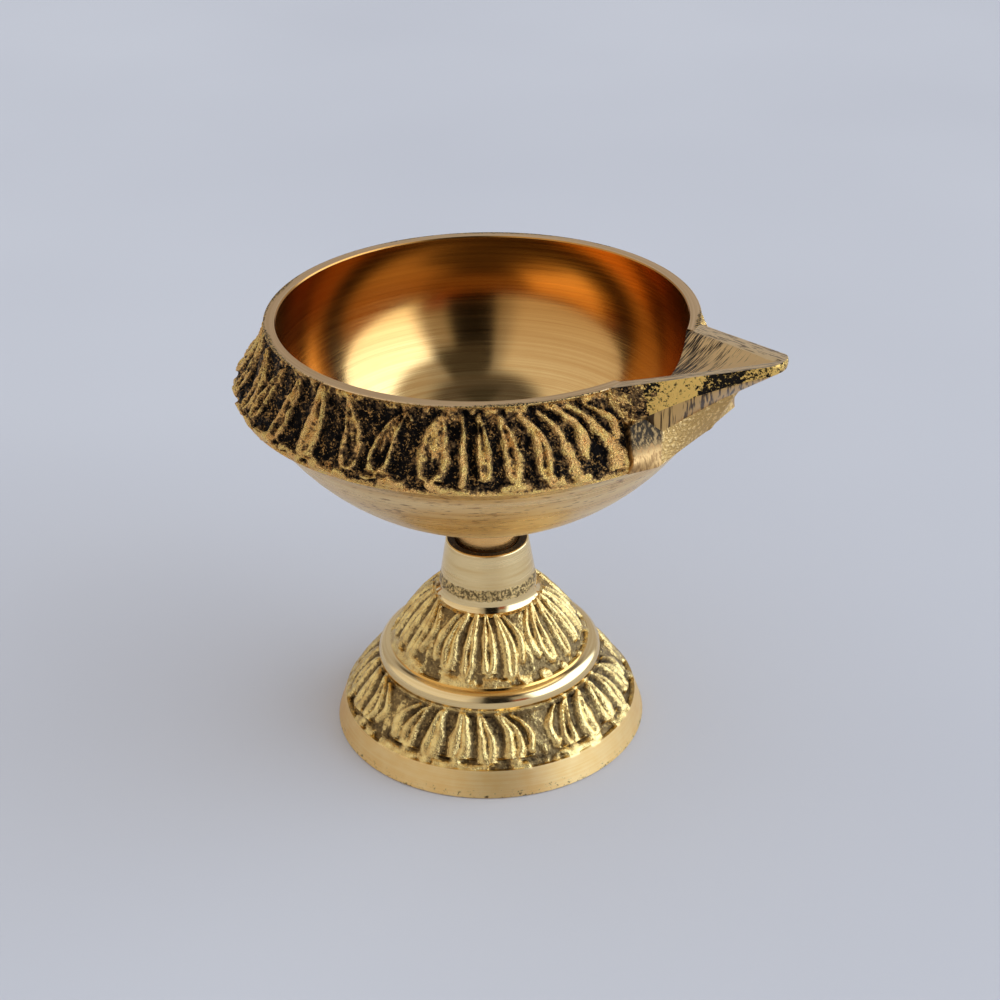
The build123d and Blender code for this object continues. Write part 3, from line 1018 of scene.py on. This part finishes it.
def build_bowl():
    body = outward(turned("bowl_casting", bowl_outline(), BOWL_COLUMNS,
                          [rim_metal, band_metal, shell_metal],
                          [(BAND_FIRST, BAND_FIRST + BAND_ROWS - 1, BAND_STYLE)]))
    spout = outward(spout_mesh([top_filed, fascia_metal, ledge_filed, keel_metal]))
    cavity = outward(turned("cavity", cavity_outline(), CAVITY_COLUMNS, [inside]))
    channel = outward(channel_tool())
    boolean(body, spout, "UNION")
    for tool in (underside_tool(), cavity, channel):
        boolean(body, tool, "DIFFERENCE")
    points = mesh_points(body)
    radius = np.hypot(points[:, 0], points[:, 1])
    depth = np.clip(crest_radius(points[:, 2]) - radius, 0.0, 2.0)
    # the casting skin runs on over the root of the spout's sides
    skin_turn = (points[:, 0] + np.abs(points[:, 1] - 40.0)) / 250.0
    skin = 0.62 + 0.45 * wrap_noise(skin_turn, points[:, 2], 0.9, 71)
    depth = np.where(radius > crest_radius(points[:, 2]) + 0.05, skin, depth)
    write_depth(body, depth)
    polygons = body.data.polygons
    slots = np.empty(len(polygons), np.int32)
    polygons.foreach_get("material_index", slots)
    middles = np.empty(len(polygons) * 3, np.float32)
    polygons.foreach_get("center", middles)
    middles = middles.reshape(-1, 3) / MM
    names = [material.name for material in body.data.materials]
    edge = 36.8 + 1.2 * wrap_noise(middles[:, 2] / 250.0, np.abs(middles[:, 0]), 1.3, 72)
    root = (slots == names.index(fascia_metal.name)) & (middles[:, 0] < edge)
    slots[root] = names.index(band_metal.name)
    polygons.foreach_set("material_index", slots)
    shade(body)
    return body


# ======== Stand and stud ========

# the stand's materials, in the order that build_stand gives them
TURNED, RELIEF, HOLLOW, LIP, GRIME, FOOT = range(6)
STAND_COLUMNS, STUD_COLUMNS = 500, 96
THREAD_PITCH, THREAD_CREST, THREAD_ROOT = 1.25, 4.0, 3.3
TAIL_ROWS = 120


def stand_outline():
    """The stand's section: down the outside, then under the foot and up the hollow and bore."""
    bore, counterbore, seat = 4.05, 5.25, STUD_SEAT
    top = COLLAR_HEIGHT
    outside = path(
        (counterbore + 0.35, top - 0.05),
        (6, LIP, (6.75, top)),
        (4, TURNED, (6.97, 34.7), (7.05, 34.45)),
        (14, TURNED, (8.35, 26.4)),
        (8, TURNED, (8.55, 25.5), (8.95, 24.85)),
        (3, RELIEF, (9.5, 25.3)),
        (46, RELIEF, (14.3, 20.2), (17.2, 15.4)),
        (1, TURNED, (17.2, 15.1)),
        (9, TURNED, (18.6, 14.6), (19.2, 13.4)),
        (4, TURNED, (19.2, 12.7), (19.05, 12.2)),
        (3, RELIEF, (19.9, 11.85)),
        (34, RELIEF, (22.9, 8.3), (25.4, 4.6)),
        (10, FOOT, (FOOT_RADIUS - 0.15, 0.25)),
        (1, FOOT, (FOOT_RADIUS - 0.4, 0.0)))
    inner = path(
        (FOOT_RADIUS - 0.4, 0.0),
        (3, HOLLOW, (24.4, 0.0)),
        (10, HOLLOW, (22.8, 4.6), (16.8, 9.5)),
        (10, HOLLOW, (14.4, 13.5), (7.0, 20.5)),
        (3, HOLLOW, (bore, 20.5)),
        (10, HOLLOW, (bore, seat)),
        (2, HOLLOW, (counterbore, seat)),
        (3, GRIME, (counterbore, top - 0.4)),
        (2, GRIME, (counterbore + 0.35, top - 0.05)))
    return outside, inner


def build_stand():
    outside, inner = stand_outline()
    counts = [len(points) for points, _ in outside]
    upper = (sum(counts[:4]), sum(counts[:6]))
    lower = (sum(counts[:9]), sum(counts[:11]))
    stand = outward(turned(
        "stand_casting", rows_of(*outside, *inner), STAND_COLUMNS,
        [collar_metal, tier_metal, hollow_metal, lip_metal, grime_metal, foot_metal],
        [(*upper, UPPER_STYLE), (*lower, LOWER_STYLE)], closed_loop=True))
    points = mesh_points(stand)
    radius = np.hypot(points[:, 0], points[:, 1])
    crest_rows = [point for rows, slot in outside if slot == RELIEF for point in rows]
    crest_rows = sorted(crest_rows + [(17.2, 15.4), (25.4, 4.6)], key=lambda point: point[1])
    crest_r, crest_z = np.array(crest_rows).T
    depth = np.interp(points[:, 2], crest_z, crest_r) - radius
    write_depth(stand, np.clip(0.72 * depth, 0.0, 2.0))
    shade(stand)
    return stand


def build_stud():
    """The stud: spigot, polished shank and an M8 screw tail with its real helix."""
    crest, seat, tail_foot = THREAD_CREST, STUD_SEAT, stud_low[2]
    outline = rows_of(
        ([(0.0, stud_high[2]), (2.7, stud_high[2]), (3.0, stud_high[2] - 0.3), (3.0, BOSS_HEIGHT),
          (SHANK_RADIUS - 0.2, BOSS_HEIGHT), (SHANK_RADIUS, BOSS_HEIGHT - 0.2)], 0),
        (straight((SHANK_RADIUS, BOSS_HEIGHT - 0.4), (SHANK_RADIUS, seat + 0.2), 10), 0),
        ([(SHANK_RADIUS, seat + 0.2), (SHANK_RADIUS - 0.2, seat)], 0),
        (straight((crest, seat), (crest, tail_foot), TAIL_ROWS), 0),
        ([(crest - 0.7, tail_foot), (0.0, tail_foot)], 0),
    )
    stud = turned("stud_turned", outline, STUD_COLUMNS, [stud_metal])
    points = mesh_points(stud)
    x, y, z = points.T
    radius = np.hypot(x, y)
    phase = ((z - tail_foot) / THREAD_PITCH - np.arctan2(y, x) / (2 * math.pi)) % 1.0
    flank = np.clip(np.abs(phase - 0.5) * 2.6 - 0.25, 0.0, 1.0)
    lead = smooth(0.0, 1.0, z - tail_foot)
    thread = THREAD_ROOT + (crest - THREAD_ROOT) * (1 - flank) * (0.3 + 0.7 * lead)
    in_tail = (z < seat - 0.3) & (radius > 3.5)
    share = np.where(in_tail, thread / np.maximum(radius, 1e-6), 1.0)
    points[:, :2] *= share[:, None]
    stud.data.vertices.foreach_set("co", (points * MM).astype(np.float32).ravel())
    shade(outward(stud))
    return stud


# ======== Assembly ========

bowl = build_bowl()
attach(bowl, "bowl")
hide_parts("bowl")

stand = build_stand()
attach(stand, "stand")
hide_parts("stand")

stud = build_stud()
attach(stud, "stud")
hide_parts("threaded_stud")

# ======== Floor, light and camera ========


@metal("table_paint", metallic=0.0)
def table_paint(g, place):
    colour = g.shades(g.noise(place, 0.006, 2.0), 0.3, 0.7,
                      (0.565, 0.56, 0.565), (0.605, 0.60, 0.60))
    return colour, 0.75, (g.noise(place, 1.2, 4.0), 0.05, 0.1)


FLOOR_HALF = 3000.0
floor_points = [(-FLOOR_HALF, -FLOOR_HALF, 0), (FLOOR_HALF, -FLOOR_HALF, 0),
                (FLOOR_HALF, FLOOR_HALF, 0), (-FLOOR_HALF, FLOOR_HALF, 0)]
floor = make_object("table_top", floor_points, [(0, 1, 2, 3)], [0], [table_paint])

# the camera looks from the spout's right, 35 degrees round from the spout's side view
SPOUT_AZIMUTH = math.radians(35.0)
EYE_DISTANCE, EYE_HEIGHT = 278.085, 195.245
PITCH, YAW, ROLL = math.radians(28.91), math.radians(0.47), math.radians(-1.03)
LENS, SENSOR = 68.4, 36.0


def view_turn(vector):
    """A direction given with the camera at -Y, turned on to the frame's axes."""
    c, s = math.cos(SPOUT_AZIMUTH), math.sin(SPOUT_AZIMUTH)
    x, y, z = vector
    return Vector((x * c - y * s, x * s + y * c, z))


def make_camera():
    forward = Vector((math.sin(YAW) * math.cos(PITCH), math.cos(YAW) * math.cos(PITCH),
                      -math.sin(PITCH)))
    right = Vector((math.cos(YAW), -math.sin(YAW), 0.0))
    up = right.cross(forward)
    right_rolled = math.cos(ROLL) * right + math.sin(ROLL) * up
    up_rolled = -math.sin(ROLL) * right + math.cos(ROLL) * up
    axes = [view_turn(v) for v in (right_rolled, up_rolled, -forward)]
    data = bpy.data.cameras.new("camera")
    data.lens, data.sensor_width = LENS, SENSOR
    data.clip_start, data.clip_end = 0.01, 20.0
    camera = bpy.data.objects.new("camera", data)
    bpy.context.scene.collection.objects.link(camera)
    eye = Matrix.Translation(view_turn((0, -EYE_DISTANCE, EYE_HEIGHT)) * MM)
    camera.matrix_world = eye @ Matrix(axes).transposed().to_4x4()
    bpy.context.scene.camera = camera


def build_room():
    """The room as the metal sees it: a window, a pale wall, a dark ceiling and a dark onlooker.

    Headings are in degrees round from the camera's side, positive to its left.
    """
    world = bpy.data.worlds.new("room")
    bpy.context.scene.world = world
    world.use_nodes = True
    g = Graph(world.node_tree)
    x, y, z = g.xyz(g.node("TexCoord").outputs["Generated"])
    c, s = math.cos(SPOUT_AZIMUTH), math.sin(SPOUT_AZIMUTH)
    left = g.mul_add(x, -c, g.mul(y, -s))
    back = g.mul_add(x, s, g.mul(y, -c))
    heading = g.maths("DEGREES", g.maths("ARCTAN2", left, back))
    height = g.maths("DEGREES", g.maths("ARCSINE", z))

    def span(value, low, high, soft):
        rise = g.remap(value, low - soft, low + soft, eased=True)
        return g.mul(rise, g.remap(value, high - soft, high + soft, 1.0, 0.0, eased=True))

    colour = (0.40, 0.40, 0.42)
    # each patch: headings and their softness, heights and their softness, colour
    patches = [
        ((20, 118, 7), (2, 65, 5), (0.74, 0.73, 0.74)),       # pale wall to the left
        ((118, 148, 8), (-90, 66, 8), (0.42, 0.42, 0.45)),    # the far side of the table
        ((146, 200, 10), (-90, 40, 6), (0.46, 0.46, 0.49)),
        ((-200, -136, 10), (-90, 40, 6), (0.46, 0.46, 0.49)),
        ((140, 200, 10), (42, 95, 5), (0.07, 0.065, 0.065)),  # dark shelves behind it
        ((-200, -136, 10), (42, 95, 5), (0.07, 0.065, 0.065)),
        ((-200, 200, 5), (67, 95, 5), (0.11, 0.105, 0.11)),   # ceiling
        ((-126, -42, 7), (2, 50, 5), (2.2, 2.65, 3.4)),       # window
        ((-126, -60, 9), (52, 62, 6), (0.50, 0.48, 0.47)),    # the wall over the window
        ((-22, 9, 4), (-5, 66, 6), (0.010, 0.009, 0.009)),    # onlooker
        ((-42, 4, 6), (46, 70, 6), (0.06, 0.055, 0.05)),      # their shoulders and head
        ((-60, 40, 12), (76, 95, 5), (0.05, 0.048, 0.045)),
        ((-36, -22, 3), (-5, 18, 4), (0.30, 0.10, 0.06)),     # their hand
    ]
    for headings, heights, value in patches:
        colour = g.mix(g.mul(span(heading, *headings), span(height, *heights)), colour, value)
    lit = g.mul(span(heading, -112, -50, 7), span(height, 21, 51, 5))
    soft_room = g.mix(lit, (0.735, 0.745, 0.805), (2.7, 2.65, 2.6))
    rays = g.node("LightPath")
    seen = g.mix(rays.outputs["Is Diffuse Ray"], colour, soft_room)
    seen = g.mix(rays.outputs["Is Camera Ray"], seen, (0.50, 0.53, 0.60))
    background = g.node("Background", {0: seen, 1: 1.0})
    g.node("OutputWorld", {0: background.outputs[0]})


make_camera()
build_room()
bpy.context.scene.view_settings.view_transform = "Standard"
